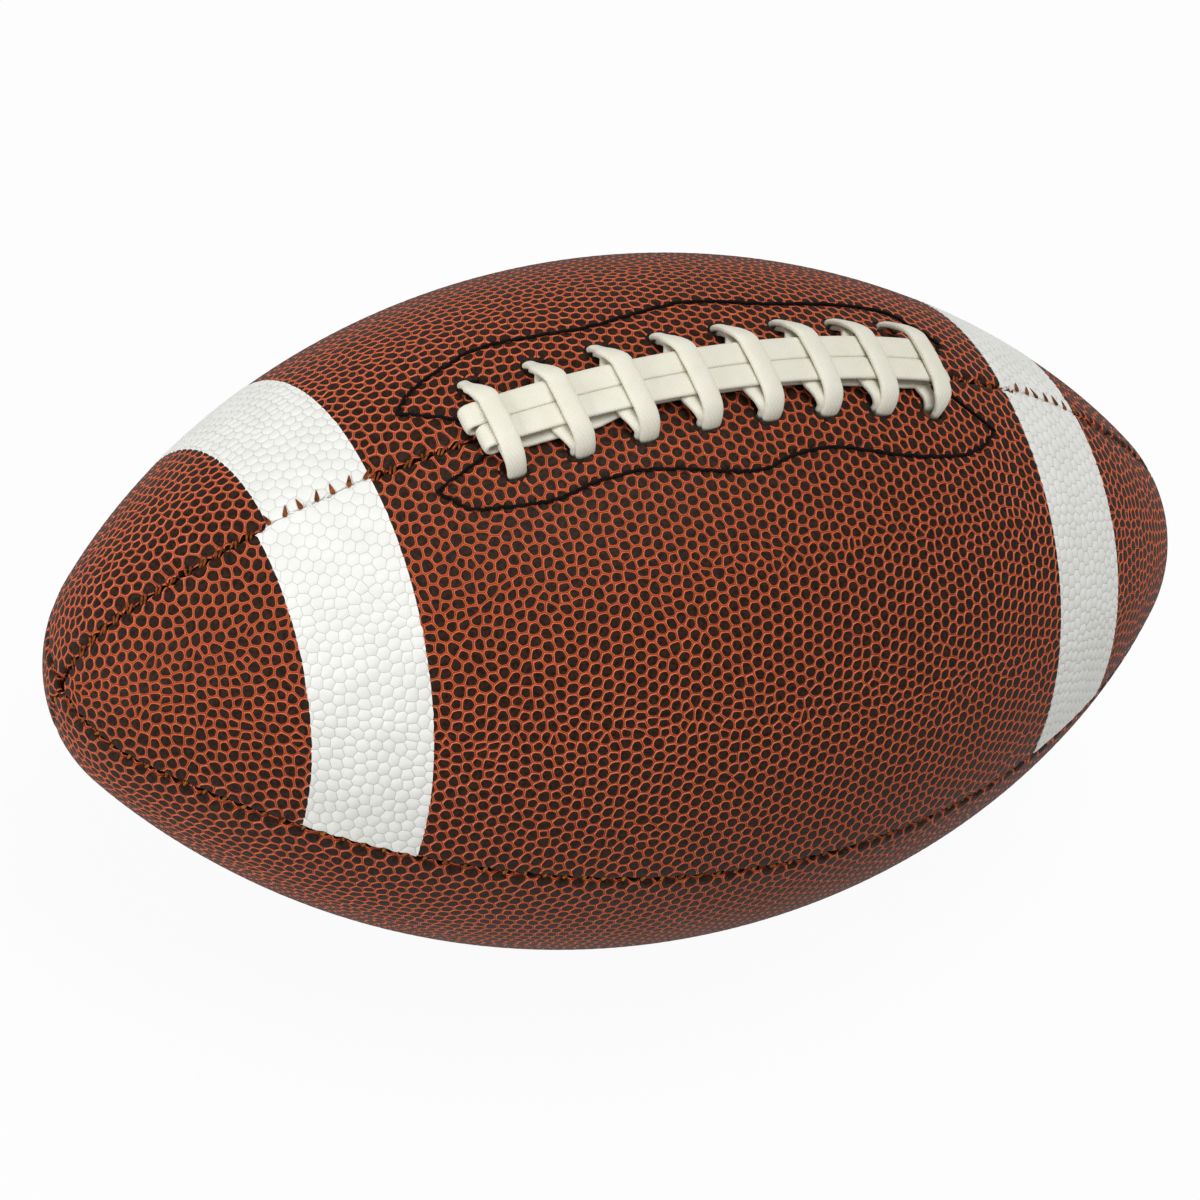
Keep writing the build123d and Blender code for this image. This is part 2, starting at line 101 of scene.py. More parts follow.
# Seams
SEAM_HALF_GAP = 0.00022
SEAM_ROLL = 0.0012
SEAM_ROW = 0.00125
SEAM_BLEND = 0.0006
SEAM_EDGE_LIMIT = 0.55
TIP_OPENING = 0.0010
TIP_ROW = 0.0046
TIP_SPREAD = 0.6
COVER_WALL = 0.0011
WALL_GRID = (90, 24)
STITCH_PITCH = 0.0042
TOP_STITCH_PITCH = 0.00347
STITCH_NOTCH = 0.00045
TOP_STITCH_NOTCH = 0.0006
STITCH_NOTCH_WIDTH = 0.0008

# Seam stitches: a bead is its length, radius and taper; a row is its place along the seam and its slant
SEWING_SEED = 5
SEAM_BEAD = (0.0016, 0.00034, 0.0)
SEAM_SLANT = 0.35
TOP_SEAM_BEAD = (0.0024, 0.00026, 0.0)
TOP_SEAM_ROWS = ((-0.0005, 0.55), (0.0004, 0.65))
STITCH_SUNK = 0.0007
STITCH_UNEVEN = (-0.0001, 0.00015)
STITCH_YAW = 0.25
SEAM_END = 0.004
LACE_END = 0.0065

# Stitches over the printed stretch of the laced seam: flat drops to one side of it
DROP_BEAD = (0.0029, 0.00072, 0.88)
DROP_ASIDE = 0.00125
DROP_OUT = 0.0011
DROP_SLANT = 0.1
DROP_FLAT = 0.5
DROP_SUNK = -0.0002

# Stripes: thick white film, printed a little askew; each edge is a place along X and how far it leans
# along X with Y and with Z
STRIPES = {
    "front": {
        "left": ((-0.0942, -0.055, -0.057), (-0.0726, -0.030, -0.044)),
        "right": ((0.0711, -0.042, -0.006), (0.0922, -0.055, 0.012)),
    },
    "rear": {
        "left": ((-0.0942, 0.0, 0.0), (-0.0726, 0.0, -0.044)),
        "right": ((0.0711, 0.0, -0.006), (0.0922, 0.0, 0.012)),
    },
}
STRIPE_FILM = 0.0001
STRIPE_RELIEF = 0.55
STRIPE_SEAM = (0.0745, 0.0952)
STRIPE_ROLL = 0.0004
STRIPE_HALF_GAP = 0.00001

# Lacing, a little left of the middle of the ball
LACE_SHIFT = -0.0019
LACE_PAIRS = 8
LACE_PITCH = 0.0139
LACED_HALF = (LACE_PAIRS - 1) * LACE_PITCH / 2
LACE_WIDTH = 0.0055
STRAP_WIDTH = 0.0045
LACE_THICK = 0.0013
LACE_ROUND = 3.2
LACE_SECTION = 20
LACE_CROWN = 0.00012
LACE_STEP = 0.0014
LOW_RUN = 0.0008
BAR = LOW_RUN + LACE_STEP
HIGH_RUN = BAR + LACE_STEP
STRAP = HIGH_RUN + LACE_STEP
LACE_SPACING = 0.0007
TUCK_START = 0.0003
TUCK_FADE = 0.0012
RUN_CENTRE = 0.0028
RUN_STEPS = 130
RUN_OVERHANG = 0.0026
RUN_DIP = 0.0008
RUN_DIP_LENGTH = 0.0022
RUN_DIP_PINCH = 0.3
LOW_END = 0.004
LOW_SHIFT = 0.0014
LOW_DRIFT = -0.0025
LOW_DRIFT_SHARE = (
    (-0.050, 0), (-0.045, 0.9), (-0.030, 1), (-0.020, 0),
    (0.020, 0), (0.028, 0.35), (0.042, 0.5), (0.050, 0.3),
)
LOW_EASE = 0.007
FOLD_START = {-1: -0.0515, 1: -0.0531}
FOLD_STEPS = 14
FOLD_PINCH = 0.04
FOLD_PINCH_LENGTH = 0.0016
BAR_DEPTH = 0.0054
BAR_SLIPS = (-0.0005, -0.0025, -0.0010)
BAR_PINCH = (0.3, 0.5)
STRAP_DEPTH = 0.0070
STRAP_SLIPS = (0.0008, 0.0002, -0.0018)
STRAP_PINCH = (0.1, 0.52)
TURN_SLIPS = (0.0002, -0.0012, 0.0)
SLIP_PLACES = (-0.0095, -0.005, 0.005, 0.0095)
PINCH_START = (0.0034, 0.0052)
PINCH_FADE = (0.0034, 0.0038)
END_PINCH = 0.6
REAR_FAN = 0.00017
FRONT_HOLE_OUT = 0.0098
REAR_HOLE_OUT = 0.0130
HOLE_HALF = (0.0021, 0.0015)
HOLE_CORNER = 0.0012
HOLE_ROLL = 0.0005
HOLE_STRETCH = 2.5

# Facing stitch: places along X from the lacing's middle and out from the slit, from the left point of each
# facing to its right point, and the ends of the straight stitches from the points back to the slit
FACING_WAVES = {
    -1: [
        (-0.0630, -0.0083), (-0.0602, -0.0122), (-0.0565, -0.0150), (-0.0430, -0.0180), (-0.0320, -0.0167),
        (-0.0200, -0.0174), (-0.0008, -0.0213), (0.0100, -0.0190), (0.0200, -0.0180), (0.0340, -0.0199),
        (0.0440, -0.0200), (0.0530, -0.0189), (0.0597, -0.0160), (0.0641, -0.0125),
    ],
    1: [
        (-0.0630, 0.0124), (-0.0580, 0.0170), (-0.0507, 0.0200), (-0.0410, 0.0227), (-0.0290, 0.0213),
        (-0.0180, 0.0205), (0.0015, 0.0232), (0.0103, 0.0225), (0.0207, 0.0207), (0.0320, 0.0204),
        (0.0440, 0.0203), (0.0520, 0.0189), (0.0560, 0.0153), (0.0610, 0.0097),
    ],
}
FACING_ENDS = {-1: ((-0.0505, -0.0042), (0.0550, -0.0049)), 1: ((-0.0528, 0.0049), (0.0550, 0.0045))}
FACING_THREAD = 0.00036
FACING_STITCH = 0.0026
FACING_OVERLAP = 1.25
FACING_YAW = 0.09
FACING_WANDER = 0.00008
FACING_FINE = 0.0003
FACING_REACH = (0.07, 0.03)
FACING_SUNK = 0.00012
FACING_GROOVE = 0.0005
FACING_GROOVE_WIDTH = 0.0007

# Valve, on the rear lacing panel
VALVE_ANGLE = radians(62)
VALVE_HOLE = 0.0043

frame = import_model()
nodes = frame["nodes"]


def outline(along):
    """The lengthwise outline at distances along it: x, radius, and the lean of its normal towards the tip."""
    reach = np.abs(along)
    lean = np.minimum(reach, BELLY_REACH) / BELLY_RADIUS + np.maximum(reach - BELLY_REACH, 0) / NOSE_RADIUS
    belly = reach <= BELLY_REACH
    x = np.where(belly, BELLY_RADIUS * np.sin(lean), NOSE_CENTRE + NOSE_RADIUS * np.sin(lean))
    radius = np.where(belly, BELLY_RADIUS * np.cos(lean) - BELLY_DROP, NOSE_RADIUS * np.cos(lean))
    side = np.sign(along)
    return side * x, radius, side * lean


def droop(x):
    """How far the ball's middle line hangs down at places along X."""
    ease = np.clip((-x - DROOP_START) / (HALF_LENGTH - DROOP_START), 0, 1) ** 2
    return ease[..., None] * np.array(TIP_DROOP)


def surface(along, angle):
    """Points on the ball, with their outward, lengthwise and crosswise directions."""
    x, radius, lean = outline(along)
    sine, cosine = np.sin(angle), np.cos(angle)
    points = np.stack([x, radius * sine, radius * cosine], -1) + droop(x)
    outward = np.stack([np.sin(lean), np.cos(lean) * sine, np.cos(lean) * cosine], -1)
    lengthwise = np.stack([np.cos(lean), -np.sin(lean) * sine, -np.sin(lean) * cosine], -1)
    crosswise = np.stack([np.zeros_like(sine), cosine, -sine], -1)
    return points, outward, lengthwise, crosswise


def locate(points):
    """Where points lie: distance along the outline, angle round the ball, and height above it."""
    x, y, z = (points - droop(points[:, 0])).T
    across = np.hypot(y, z)
    lean = np.arctan2(np.abs(x), across + BELLY_DROP)
    join = pi / 2 - NOSE_ANGLE
    nose_lean = np.arctan2(np.abs(x) - NOSE_CENTRE, across)
    on_nose = lean > join
    reach = np.where(on_nose, BELLY_REACH + NOSE_RADIUS * (nose_lean - join), BELLY_RADIUS * lean)
    nose_height = np.hypot(np.abs(x) - NOSE_CENTRE, across) - NOSE_RADIUS
    belly_height = np.hypot(x, across + BELLY_DROP) - BELLY_RADIUS
    return np.sign(x) * reach, np.arctan2(y, z), np.where(on_nose, nose_height, belly_height)


def along_at(x):
    """The distance along the outline of places on the belly, given along X."""
    return BELLY_RADIUS * np.arcsin(np.asarray(x) / BELLY_RADIUS)


def activate(piece):
    bpy.ops.object.select_all(action="DESELECT")
    piece.select_set(True)
    bpy.context.view_layer.objects.active = piece


def mode(name):
    bpy.ops.object.mode_set(mode=name)


def add_to_scene(item):
    bpy.context.scene.collection.objects.link(item)


def mesh_piece(name, points, faces):
    mesh = bpy.data.meshes.new(name)
    mesh.from_pydata([tuple(point) for point in points], [], faces)
    piece = bpy.data.objects.new(name, mesh)
    add_to_scene(piece)
    return piece


def flat_strip(name, lengths, widths):
    """A flat grid to be laid in place: the piece, and each point's place along and across it, -1 to 1."""
    bpy.ops.object.select_all(action="DESELECT")
    bpy.ops.mesh.primitive_grid_add(x_subdivisions=lengths, y_subdivisions=widths, size=2)
    piece = bpy.context.object
    piece.name = name
    points = mesh_points(piece)
    return piece, points[:, 0], points[:, 1]


def mesh_points(piece):
    points = np.empty(len(piece.data.vertices) * 3)
    piece.data.vertices.foreach_get("co", points)
    return points.reshape(-1, 3)


def place_points(piece, points):
    piece.data.vertices.foreach_set("co", np.ascontiguousarray(points).ravel())
    piece.data.update()


def paint(piece, name, values):
    """Keeps a number for each point of a piece, for its material to read."""
    layer = piece.data.attributes.new(name, "FLOAT", "POINT")
    layer.data.foreach_set("value", np.ascontiguousarray(values, dtype=np.float32))


def apply_modifier(piece, kind, **settings):
    activate(piece)
    modifier = piece.modifiers.new(kind.title(), kind)
    for key, value in settings.items():
        setattr(modifier, key, value)
    bpy.ops.object.modifier_apply(modifier=modifier.name)


# Materials


def new_material(name):
    material = bpy.data.materials.new(name)
    material.use_nodes = True
    tree = material.node_tree
    return material, tree.nodes, tree.links, tree.nodes["Principled BSDF"]


def noise(nodes_of, links, scale, detail=4.0, roughness=0.55):
    place = nodes_of.new("ShaderNodeTexCoord")
    texture = nodes_of.new("ShaderNodeTexNoise")
    texture.inputs["Scale"].default_value = scale
    texture.inputs["Detail"].default_value = detail
    texture.inputs["Roughness"].default_value = roughness
    links.new(place.outputs["Object"], texture.inputs["Vector"])
    return texture.outputs["Fac"]


def ramp(nodes_of, links, value, *stops):
    """A colour ramp over a value, through stops of place and colour."""
    node = nodes_of.new("ShaderNodeValToRGB")
    elements = node.color_ramp.elements
    for place, _ in stops[2:]:
        elements.new(place)
    for element, (place, colour) in zip(elements, stops):
        element.position = place
        element.color = (*colour, 1)
    links.new(value, node.inputs["Fac"])
    return node.outputs["Color"]


def grey(level):
    return (level, level, level)


def mix(nodes_of, links, kind, share, first, second):
    node = nodes_of.new("ShaderNodeMix")
    node.data_type = "RGBA"
    node.blend_type = kind
    for name, value in (("Factor", share), ("A", first), ("B", second)):
        socket = node.inputs[name]
        if isinstance(value, float):
            socket.default_value = value
        elif isinstance(value, tuple):
            socket.default_value = (*value, 1)
        else:
            links.new(value, socket)
    return node.outputs["Result"]


def bump(nodes_of, links, shader, height, strength, distance):
    node = nodes_of.new("ShaderNodeBump")
    node.inputs["Strength"].default_value = strength
    node.inputs["Distance"].default_value = distance
    links.new(height, node.inputs["Height"])
    links.new(node.outputs["Normal"], shader.inputs["Normal"])


def attribute(nodes_of, name):
    node = nodes_of.new("ShaderNodeAttribute")
    node.attribute_name = name
    return node.outputs["Fac"]


def woven(nodes_of, links, scale, turn, directions):
    """Two sets of threads across each other, as a height."""
    place = nodes_of.new("ShaderNodeTexCoord")
    mapping = nodes_of.new("ShaderNodeMapping")
    mapping.inputs["Rotation"].default_value = (0, 0, turn)
    links.new(place.outputs["Object"], mapping.inputs["Vector"])
    heights = []
    for direction in directions:
        threads = nodes_of.new("ShaderNodeTexWave")
        threads.bands_direction = direction
        threads.inputs["Scale"].default_value = scale
        threads.inputs["Distortion"].default_value = 1.5
        links.new(mapping.outputs["Vector"], threads.inputs["Vector"])
        heights.append(threads.outputs["Fac"])
    return mix(nodes_of, links, "MULTIPLY", 1.0, *heights)


def pebbled_cover():
    """Rust-orange composite with dark brown printed pebble tops; its webs are painted darker towards the
    valley floors, as painted shade.
    """
    material, made, links, shader = new_material("pebbled_cover")
    relief = attribute(made, "relief")
    print_grain = noise(made, links, 1300, 5.0, 0.65)
    tops = ramp(made, links, print_grain, (0.36, (0.012, 0.0045, 0.0025)), (0.64, (0.040, 0.018, 0.011)))
    mottle = ramp(made, links, noise(made, links, 260), (0.3, grey(0.8)), (0.7, grey(1.0)))
    # Painted shade: the webs darken from the walls down to the valley floors.
    slope = ramp(made, links, relief, (0.0, (0.26, 0.038, 0.010)), (0.5, (0.74, 0.160, 0.058)))
    webs = mix(made, links, "MULTIPLY", 1.0, slope, mottle)
    edge = ramp(made, links, relief, (0.68, grey(0.0)), (0.95, grey(1.0)))
    links.new(mix(made, links, "MIX", edge, webs, tops), shader.inputs["Base Color"])
    roughness = ramp(made, links, relief, (0.7, grey(0.44)), (0.95, grey(0.55)))
    links.new(roughness, shader.inputs["Roughness"])
    gloss = ramp(made, links, relief, (0.7, grey(0.25)), (0.95, grey(0.1)))
    links.new(gloss, shader.inputs["Specular IOR Level"])
    bump(made, links, shader, noise(made, links, 3400, 4.0), 0.5, 0.00008)
    return material


def stripe_white():
    """White film over the pebbles, painted grey in its valleys as painted shade."""
    material, made, links, shader = new_material("stripe_white")
    relief = attribute(made, "relief")
    # Painted shade: the film turns grey down in its valleys.
    base = ramp(made, links, relief, (0.0, (0.52, 0.51, 0.47)), (0.4, (0.82, 0.82, 0.79)))
    soil = ramp(made, links, noise(made, links, 150), (0.35, (0.95, 0.95, 0.93)), (0.6, grey(1.0)))
    links.new(mix(made, links, "MULTIPLY", 1.0, base, soil), shader.inputs["Base Color"])
    shader.inputs["Roughness"].default_value = 0.5
    shader.inputs["Specular IOR Level"].default_value = 0.35
    bump(made, links, shader, noise(made, links, 4200, 3.0), 0.3, 0.00005)
    return material


def lace_ivory():
    """Ivory lace with a fine diagonal weave; where it goes into its holes it darkens, partly real soil and
    partly painted shade.
    """
    material, made, links, shader = new_material("lace_ivory")
    tuck = attribute(made, "tuck")
    clean = ramp(made, links, noise(made, links, 300), (0.3, (0.77, 0.745, 0.62)), (0.7, (0.81, 0.79, 0.68)))
    # Darker where the lace goes below the cover into its holes: partly real soil, partly painted shade.
    soil_and_shade = ramp(made, links, tuck, (0.15, grey(0.0)), (0.9, grey(1.0)))
    soiled_and_shaded = mix(made, links, "MIX", soil_and_shade, clean, (0.17, 0.18, 0.12))
    weave = woven(made, links, 520, radians(45), ("X", "Y"))
    threads = ramp(made, links, weave, (0.0, grey(0.94)), (0.5, grey(1.0)))
    links.new(mix(made, links, "MULTIPLY", 1.0, soiled_and_shaded, threads), shader.inputs["Base Color"])
    shader.inputs["Roughness"].default_value = 0.62
    shader.inputs["Specular IOR Level"].default_value = 0.3
    bump(made, links, shader, weave, 0.35, 0.0001)
    return material


def thread_finish(name, dark, light, roughness):
    """Twisted sewing thread."""
    material, made, links, shader = new_material(name)
    twist = ramp(made, links, noise(made, links, 900, 5.0), (0.3, dark), (0.7, light))
    links.new(twist, shader.inputs["Base Color"])
    shader.inputs["Roughness"].default_value = roughness
    shader.inputs["Specular IOR Level"].default_value = 0.15
    bump(made, links, shader, noise(made, links, 6000), 0.6, 0.0001)
    return material


def woven_lining():
    """Woven backing cloth."""
    material, made, links, shader = new_material("woven_lining")
    cloth = woven(made, links, 300, 0.0, ("X", "Z"))
    colour = ramp(made, links, cloth, (0.0, (0.50, 0.46, 0.39)), (0.8, (0.72, 0.68, 0.60)))
    links.new(colour, shader.inputs["Base Color"])
    shader.inputs["Roughness"].default_value = 0.85
    bump(made, links, shader, cloth, 0.5, 0.0002)
    return material


def plain_finish(name, dark, light, roughness, grain):
    """Smooth moulded or skived stock with a light mottle."""
    material, made, links, shader = new_material(name)
    mottle = ramp(made, links, noise(made, links, 200), (0.3, dark), (0.7, light))
    links.new(mottle, shader.inputs["Base Color"])
    shader.inputs["Roughness"].default_value = roughness
    bump(made, links, shader, noise(made, links, grain), 0.3, 0.0001)
    return material


COVER = pebbled_cover()
STRIPE = stripe_white()
IVORY = lace_ivory()
FACING_BLACK = thread_finish("facing_thread", (0.0015, 0.0015, 0.0015), (0.006, 0.005, 0.005), 0.9)
SEAM_TAN = thread_finish("seam_thread", (0.08, 0.025, 0.004), (0.45, 0.19, 0.025), 0.7)
TOP_SEAM_RUST = thread_finish("top_seam_thread", (0.02, 0.005, 0.0015), (0.36, 0.10, 0.018), 0.75)
LINING = woven_lining()
BACKING = plain_finish("facing_backing", (0.22, 0.11, 0.06), (0.32, 0.17, 0.10), 0.8, 1800)
BLADDER = plain_finish("bladder_rubber", grey(0.035), grey(0.06), 0.6, 900)
VALVE = plain_finish("valve_rubber", grey(0.02), grey(0.04), 0.5, 1500)


def dress(piece, material, slot, *replaced, facets=FACET_ANGLE):
    """Gives a finished piece its material and its place in the frame, and hides the CAD nodes that it stands
    for.
    """
    piece.data.materials.clear()
    piece.data.materials.append(material)
    activate(piece)
    bpy.ops.object.shade_smooth_by_angle(angle=facets)
    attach(piece, "root")
    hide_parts(*replaced)


# Cover panels


def seam_row(edge, inset, start, rng):
    """Places in a row along one edge of a panel, so far in from the seam."""
    count = int(2 * (TIP_REACH - start) / PEBBLE_PITCH)
    along = np.linspace(start - TIP_REACH, TIP_REACH - start, count)
    along = along + rng.normal(0, ROW_JITTER * PEBBLE_PITCH, count)
    radius = outline(along)[1]
    return along, edge * (HALF_PANEL - np.maximum(inset / radius, -SEAM_EDGE_LIMIT * np.sign(-inset)))


def inner_places(rng):
    """Rough middles of the pebbles inside the seam rows of a panel."""
    places = []
    row_step = PEBBLE_PITCH * ROW_SHARE
    rows = int(2 * (TIP_REACH - TIP_ROW) / row_step)
    for row in range(rows + 1):
        along = (row - rows / 2) * row_step
        radius = outline(np.array(along))[1]
        half = radius * HALF_PANEL - SEAM_ROW - 0.8 * PEBBLE_PITCH
        if half < 0:
            continue
        count = int(2 * half / PEBBLE_PITCH + row % 2) + 1
        for across in (np.arange(count) - (count - 1) / 2) * PEBBLE_PITCH:
            slip = rng.normal(0, PEBBLE_JITTER * PEBBLE_PITCH, 2)
            places.append((along + slip[0], (across + slip[1]) / radius))
    return np.array(places)


def relax(free, fixed, middle):
    """Pushes crowded places apart over the ball."""
    still = surface(fixed[:, 0], fixed[:, 1] + middle)[0]
    room = RELAX_ROOM * PEBBLE_PITCH
    for _ in range(RELAX_ROUNDS):
        moving = surface(free[:, 0], free[:, 1] + middle)[0]
        every = np.concatenate([moving, still])
        apart = np.sqrt(np.maximum(
            (moving**2).sum(1)[:, None] + (every**2).sum(1)[None, :] - 2 * moving @ every.T, 1e-12
        ))
        push = np.where((apart < room) & (apart > 1e-5), (room - apart) / apart, 0)
        shift = moving * push.sum(1)[:, None] - push @ every
        along, angle, _ = locate(moving + RELAX_RATE * shift)
        free = np.stack([along, (angle - middle + pi) % (2 * pi) - pi], -1)
    return free


def cell_corners(flat, triangles):
    """The corner that three neighbouring pebbles share: near the point that is as far from all three."""
    first, second, third = flat[triangles[:, 0]], flat[triangles[:, 1]], flat[triangles[:, 2]]
    centres = (first + second + third) / 3
    side, other = second - first, third - first
    doubled = 2 * (side[:, 0] * other[:, 1] - side[:, 1] * other[:, 0])
    side_square, other_square = (side**2).sum(1), (other**2).sum(1)
    even = first + np.stack([
        (other[:, 1] * side_square - side[:, 1] * other_square) / doubled,
        (side[:, 0] * other_square - other[:, 0] * side_square) / doubled,
    ], -1)
    shift = CORNER_SKEW * (even - centres)
    size = np.maximum(np.linalg.norm(shift, axis=1), 1e-9)
    limit = CORNER_LIMIT * np.sqrt(np.minimum(side_square, other_square))
    return centres + shift * np.minimum(1, limit / size)[:, None]


def pebble_cells(middle, rng):
    """The pebbles of a panel as many-sided cells: places of their points, and their rings of points."""
    rows = []
    frames = []
    for edge in (-1, 1):
        rows.append(np.stack(seam_row(edge, SEAM_ROW, TIP_ROW, rng), -1))
        rows.append(np.stack(seam_row(edge, -SEAM_ROW, TIP_ROW / 2, rng), -1))
        frames.append(np.stack(seam_row(edge, -3 * SEAM_ROW, TIP_OPENING / 2, rng), -1))
    for end in (-1, 1):
        for angle in (-TIP_SPREAD, 0.0, TIP_SPREAD):
            frames.append(np.array([[end * (TIP_REACH - TIP_OPENING / 2), angle]]))
        rows.append(np.array([[end * (TIP_REACH - 1.5 * TIP_OPENING), 0.0]]))
    seam = np.concatenate(rows)
    border = np.concatenate(frames)
    inner = relax(inner_places(rng), np.concatenate([seam, border]), middle)
    real = np.concatenate([inner, seam])
    places = np.concatenate([real, border])
    steps = np.linspace(-TIP_REACH + TIP_OPENING / 4, TIP_REACH - TIP_OPENING / 4, MAP_STEPS)
    thin = 1 / outline(steps)[1]
    spread = np.concatenate([[0], np.cumsum((thin[1:] + thin[:-1]) / 2 * np.diff(steps))])
    flat = np.stack([np.interp(places[:, 0], steps, spread), places[:, 1]], -1)
    made, _, triangles, origins, _, _ = delaunay_2d_cdt([Vector(point) for point in flat], [], [], 0, 1e-9)
    source = [origin[0] for origin in origins]
    triangles = np.array([[source[corner] for corner in triangle] for triangle in triangles])
    centres = cell_corners(flat, triangles)
    around = [[] for _ in places]
    for triangle, corners in enumerate(triangles):
        for corner in corners:
            around[corner].append(triangle)
    flat_points = []
    number = {}
    rings = []
    for seed in range(len(real)):
        spokes = centres[around[seed]] - flat[seed]
        corners = [around[seed][k] for k in np.argsort(np.arctan2(spokes[:, 1], spokes[:, 0]))]
        ring = []
        for first, second in zip(corners, corners[1:] + corners[:1]):
            for key in ((first, first), (min(first, second), max(first, second))):
                if key not in number:
                    number[key] = len(flat_points)
                    flat_points.append((centres[key[0]] + centres[key[1]]) / 2)
                ring.append(number[key])
        rings.append(ring)
    flat_points = np.array(flat_points)
    return np.interp(flat_points[:, 0], spread, steps), flat_points[:, 1] + middle, rings


def seam_notch(along, pitch, depth):
    """How far stitches pull the panel edges in, at distances along a seam."""
    off = (along / pitch + 0.5) % 1 - 0.5
    return depth * np.exp(-((off * pitch / STITCH_NOTCH_WIDTH) ** 2))


def form(along, angle, height, middle, level, holes):
    """Bends an embossed panel over its seam edges and into its holes, and gives the points."""
    turn = (angle - middle + pi) % (2 * pi) - pi
    radius = outline(along)[1]
    edges = np.stack([
        radius * (HALF_PANEL - turn),
        radius * (HALF_PANEL + turn),
        TIP_REACH - np.abs(along) - TIP_OPENING,
    ])
    near = edges.min(0)
    weights = np.exp(-(edges - near) / SEAM_BLEND)
    total = weights.sum(0)
    room = near - SEAM_BLEND * np.log(total)
    weights = weights / total
    pull_along = -np.sign(along) * weights[2]
    pull_across = weights[1] - weights[0]
    size = np.maximum(np.hypot(pull_along, pull_across), 1e-6)
    top_edge = (np.cos(middle + np.sign(turn) * HALF_PANEL) > 0.9) & (level > 0)
    x = np.abs(outline(along)[0])
    printed = top_edge & (x > STRIPE_SEAM[0]) & (x < STRIPE_SEAM[1])
    depth = np.where(printed, 0.0, TOP_STITCH_NOTCH)
    plain_notch = seam_notch(along, STITCH_PITCH, STITCH_NOTCH)
    notch = np.where(top_edge, seam_notch(along, TOP_STITCH_PITCH, depth), plain_notch)
    roll = np.where(printed, STRIPE_ROLL, SEAM_ROLL)
    start = np.where(printed, STRIPE_HALF_GAP, SEAM_HALF_GAP) + roll + notch * (1 - weights[2])
    reach = np.maximum(start - room, 0)
    stretch = np.ones_like(reach)
    pull = [pull_along / size, pull_across / size]
    for hole_room, hole_along, hole_across, hole_roll in holes(along, radius * np.sin(angle), angle):
        inside = hole_room < hole_roll
        reach = np.where(inside, hole_roll - hole_room, reach)
        roll = np.where(inside, hole_roll, roll)
        stretch = np.where(inside, HOLE_STRETCH, stretch)
        pull = [np.where(inside, hole_along, pull[0]), np.where(inside, hole_across, pull[1])]
    bend = np.minimum(reach / roll, pi / 2)
    run = (reach - bend * roll) * stretch
    base_along = along + pull[0] * reach
    base_along = np.clip(base_along, -TIP_REACH, TIP_REACH)
    base_radius = np.maximum(outline(base_along)[1], TIP_OPENING / 2)
    points, outward, lengthwise, crosswise = surface(base_along, angle + pull[1] * reach / base_radius)
    inward = lengthwise * pull[0][:, None] + crosswise * pull[1][:, None]
    cosine, sine = np.cos(bend)[:, None], np.sin(bend)[:, None]
    bent = outward * cosine - inward * sine
    drop = roll[:, None] * (1 - cosine) + run[:, None]
    return points - inward * roll[:, None] * sine - outward * drop + bent * height[:, None]


def no_holes(along, out, angle):
    return []


def lace_holes(along, out, angle):
    """The room to the nearest lace hole of a lacing panel, with the direction out of it."""
    laced = along - LACE_SHIFT
    pair = np.clip(np.round(laced / LACE_PITCH + (LACE_PAIRS - 1) / 2), 0, LACE_PAIRS - 1)
    side_along = laced - (pair - (LACE_PAIRS - 1) / 2) * LACE_PITCH
    side_out = np.abs(out) - np.where(out > 0, REAR_HOLE_OUT, FRONT_HOLE_OUT)
    away_along = np.abs(side_along) - HOLE_HALF[0] + HOLE_CORNER
    away_out = np.abs(side_out) - HOLE_HALF[1] + HOLE_CORNER
    past = np.hypot(np.maximum(away_along, 0), np.maximum(away_out, 0))
    room = past + np.minimum(np.maximum(away_along, away_out), 0) - HOLE_CORNER
    corner = past > 1e-9
    steer_along = np.where(corner, np.maximum(away_along, 0), (away_along > away_out) * 1.0)
    steer_out = np.where(corner, np.maximum(away_out, 0), (away_along <= away_out) * 1.0)
    size = np.maximum(np.hypot(steer_along, steer_out), 1e-9)
    above = np.where(np.cos(angle) > 0.8, room, 1.0)
    return [(
        above,
        steer_along / size * np.sign(side_along),
        steer_out / size * np.sign(side_out) * np.sign(out),
        HOLE_ROLL,
    )]


def rear_holes(along, out, angle):
    """The lace holes and the valve hole of the rear lacing panel."""
    side = RADIUS * (angle - VALVE_ANGLE)
    away = np.maximum(np.hypot(along, side), 1e-6)
    return lace_holes(along, out, angle) + [(away - VALVE_HOLE, along / away, side / away, HOLE_ROLL)]


def spline(points, step):
    """A smooth line through places, at an even step."""
    points = np.array(points, float)
    padded = np.concatenate([2 * points[:1] - points[1:2], points, 2 * points[-1:] - points[-2:-1]])
    fine = []
    for k in range(1, len(padded) - 2):
        before, start, end, after = padded[k - 1 : k + 3]
        for share in np.linspace(0, 1, 40, endpoint=False):
            fine.append(0.5 * (
                2 * start + (end - before) * share + (2 * before - 5 * start + 4 * end - after) * share**2
                + (3 * start - before - 3 * end + after) * share**3
            ))
    fine = np.array(fine + [points[-1]])
    gone = np.concatenate([[0], np.cumsum(np.linalg.norm(np.diff(fine, axis=0), axis=1))])
    even = np.linspace(0, gone[-1], max(int(round(gone[-1] / step)), 1) + 1)
    return np.stack([np.interp(even, gone, fine[:, axis]) for axis in range(fine.shape[1])], -1)


def thread_groove(along, angle, line):
    """How deep the facing thread presses the cover in."""
    x, radius, _ = outline(along)
    plan = np.stack([x, radius * np.sin(angle)], -1)
    depth = np.zeros(len(plan))
    close = (np.abs(plan) < FACING_REACH).all(1)
    near = np.flatnonzero(close & (np.cos(angle) > 0))
    gap = np.full(len(near), 1.0)
    for point in line:
        gap = np.minimum(gap, np.hypot(plan[near, 0] - point[0], plan[near, 1] - point[1]))
    depth[near] = FACING_GROOVE * np.exp(-((gap / FACING_GROOVE_WIDTH) ** 2))
    return depth


